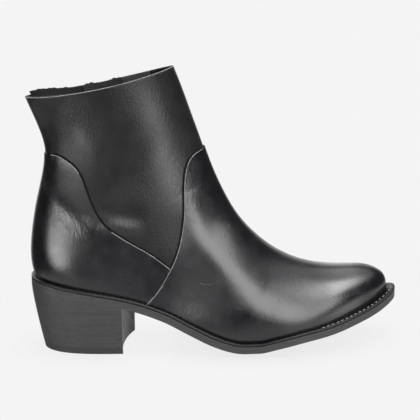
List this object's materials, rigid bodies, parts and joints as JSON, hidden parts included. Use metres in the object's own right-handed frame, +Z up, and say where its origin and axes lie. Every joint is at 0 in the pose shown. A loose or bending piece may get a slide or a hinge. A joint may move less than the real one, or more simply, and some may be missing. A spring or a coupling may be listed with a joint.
{
  "type": "ankle boot",
  "caption": "Women's leather ankle boot with a lasted upper, vamp and counter overlays, stitched welt, stacked block heel and an inner side zip with a hinged pull tab.",
  "frame": {"origin": "on the floor under the middle of the boot's box", "axes": "+X to the toe, +Y to the inner side of the foot, +Z up"},
  "size_m": [0.2603, 0.0884, 0.1956],
  "materials": {
    "smooth_leather": "polished black leather",
    "shaft_leather": "soft semi-matt black leather",
    "inner_leather": "matt dark leather",
    "stacked_heel": "stained and waxed stacked layers",
    "sole_rubber": "matt black rubber",
    "zip_cloth": "woven tape",
    "zip_metal": "dark nickel"
  },
  "bodies": {
    "boot": {"outsole": "sole_rubber", "welt": "smooth_leather", "insole": "inner_leather", "heel": "stacked_heel", "top_lift": "sole_rubber", "upper": "shaft_leather", "vamp": "smooth_leather", "counter": "smooth_leather", "zip_tape": "zip_cloth", "zip_teeth": "zip_metal", "zip_slider": "zip_metal"},
    "pull": {"zip_pull": "zip_metal"}
  },
  "joints": [
    {"name": "pull_hinge", "type": "hinge", "parent": "boot", "child": "pull", "pos_m": [-0.07422, 0.03243, 0.17078], "axis": [0.941, -0.0041, 0.3385], "range_deg": [-4, 155]}
  ]
}
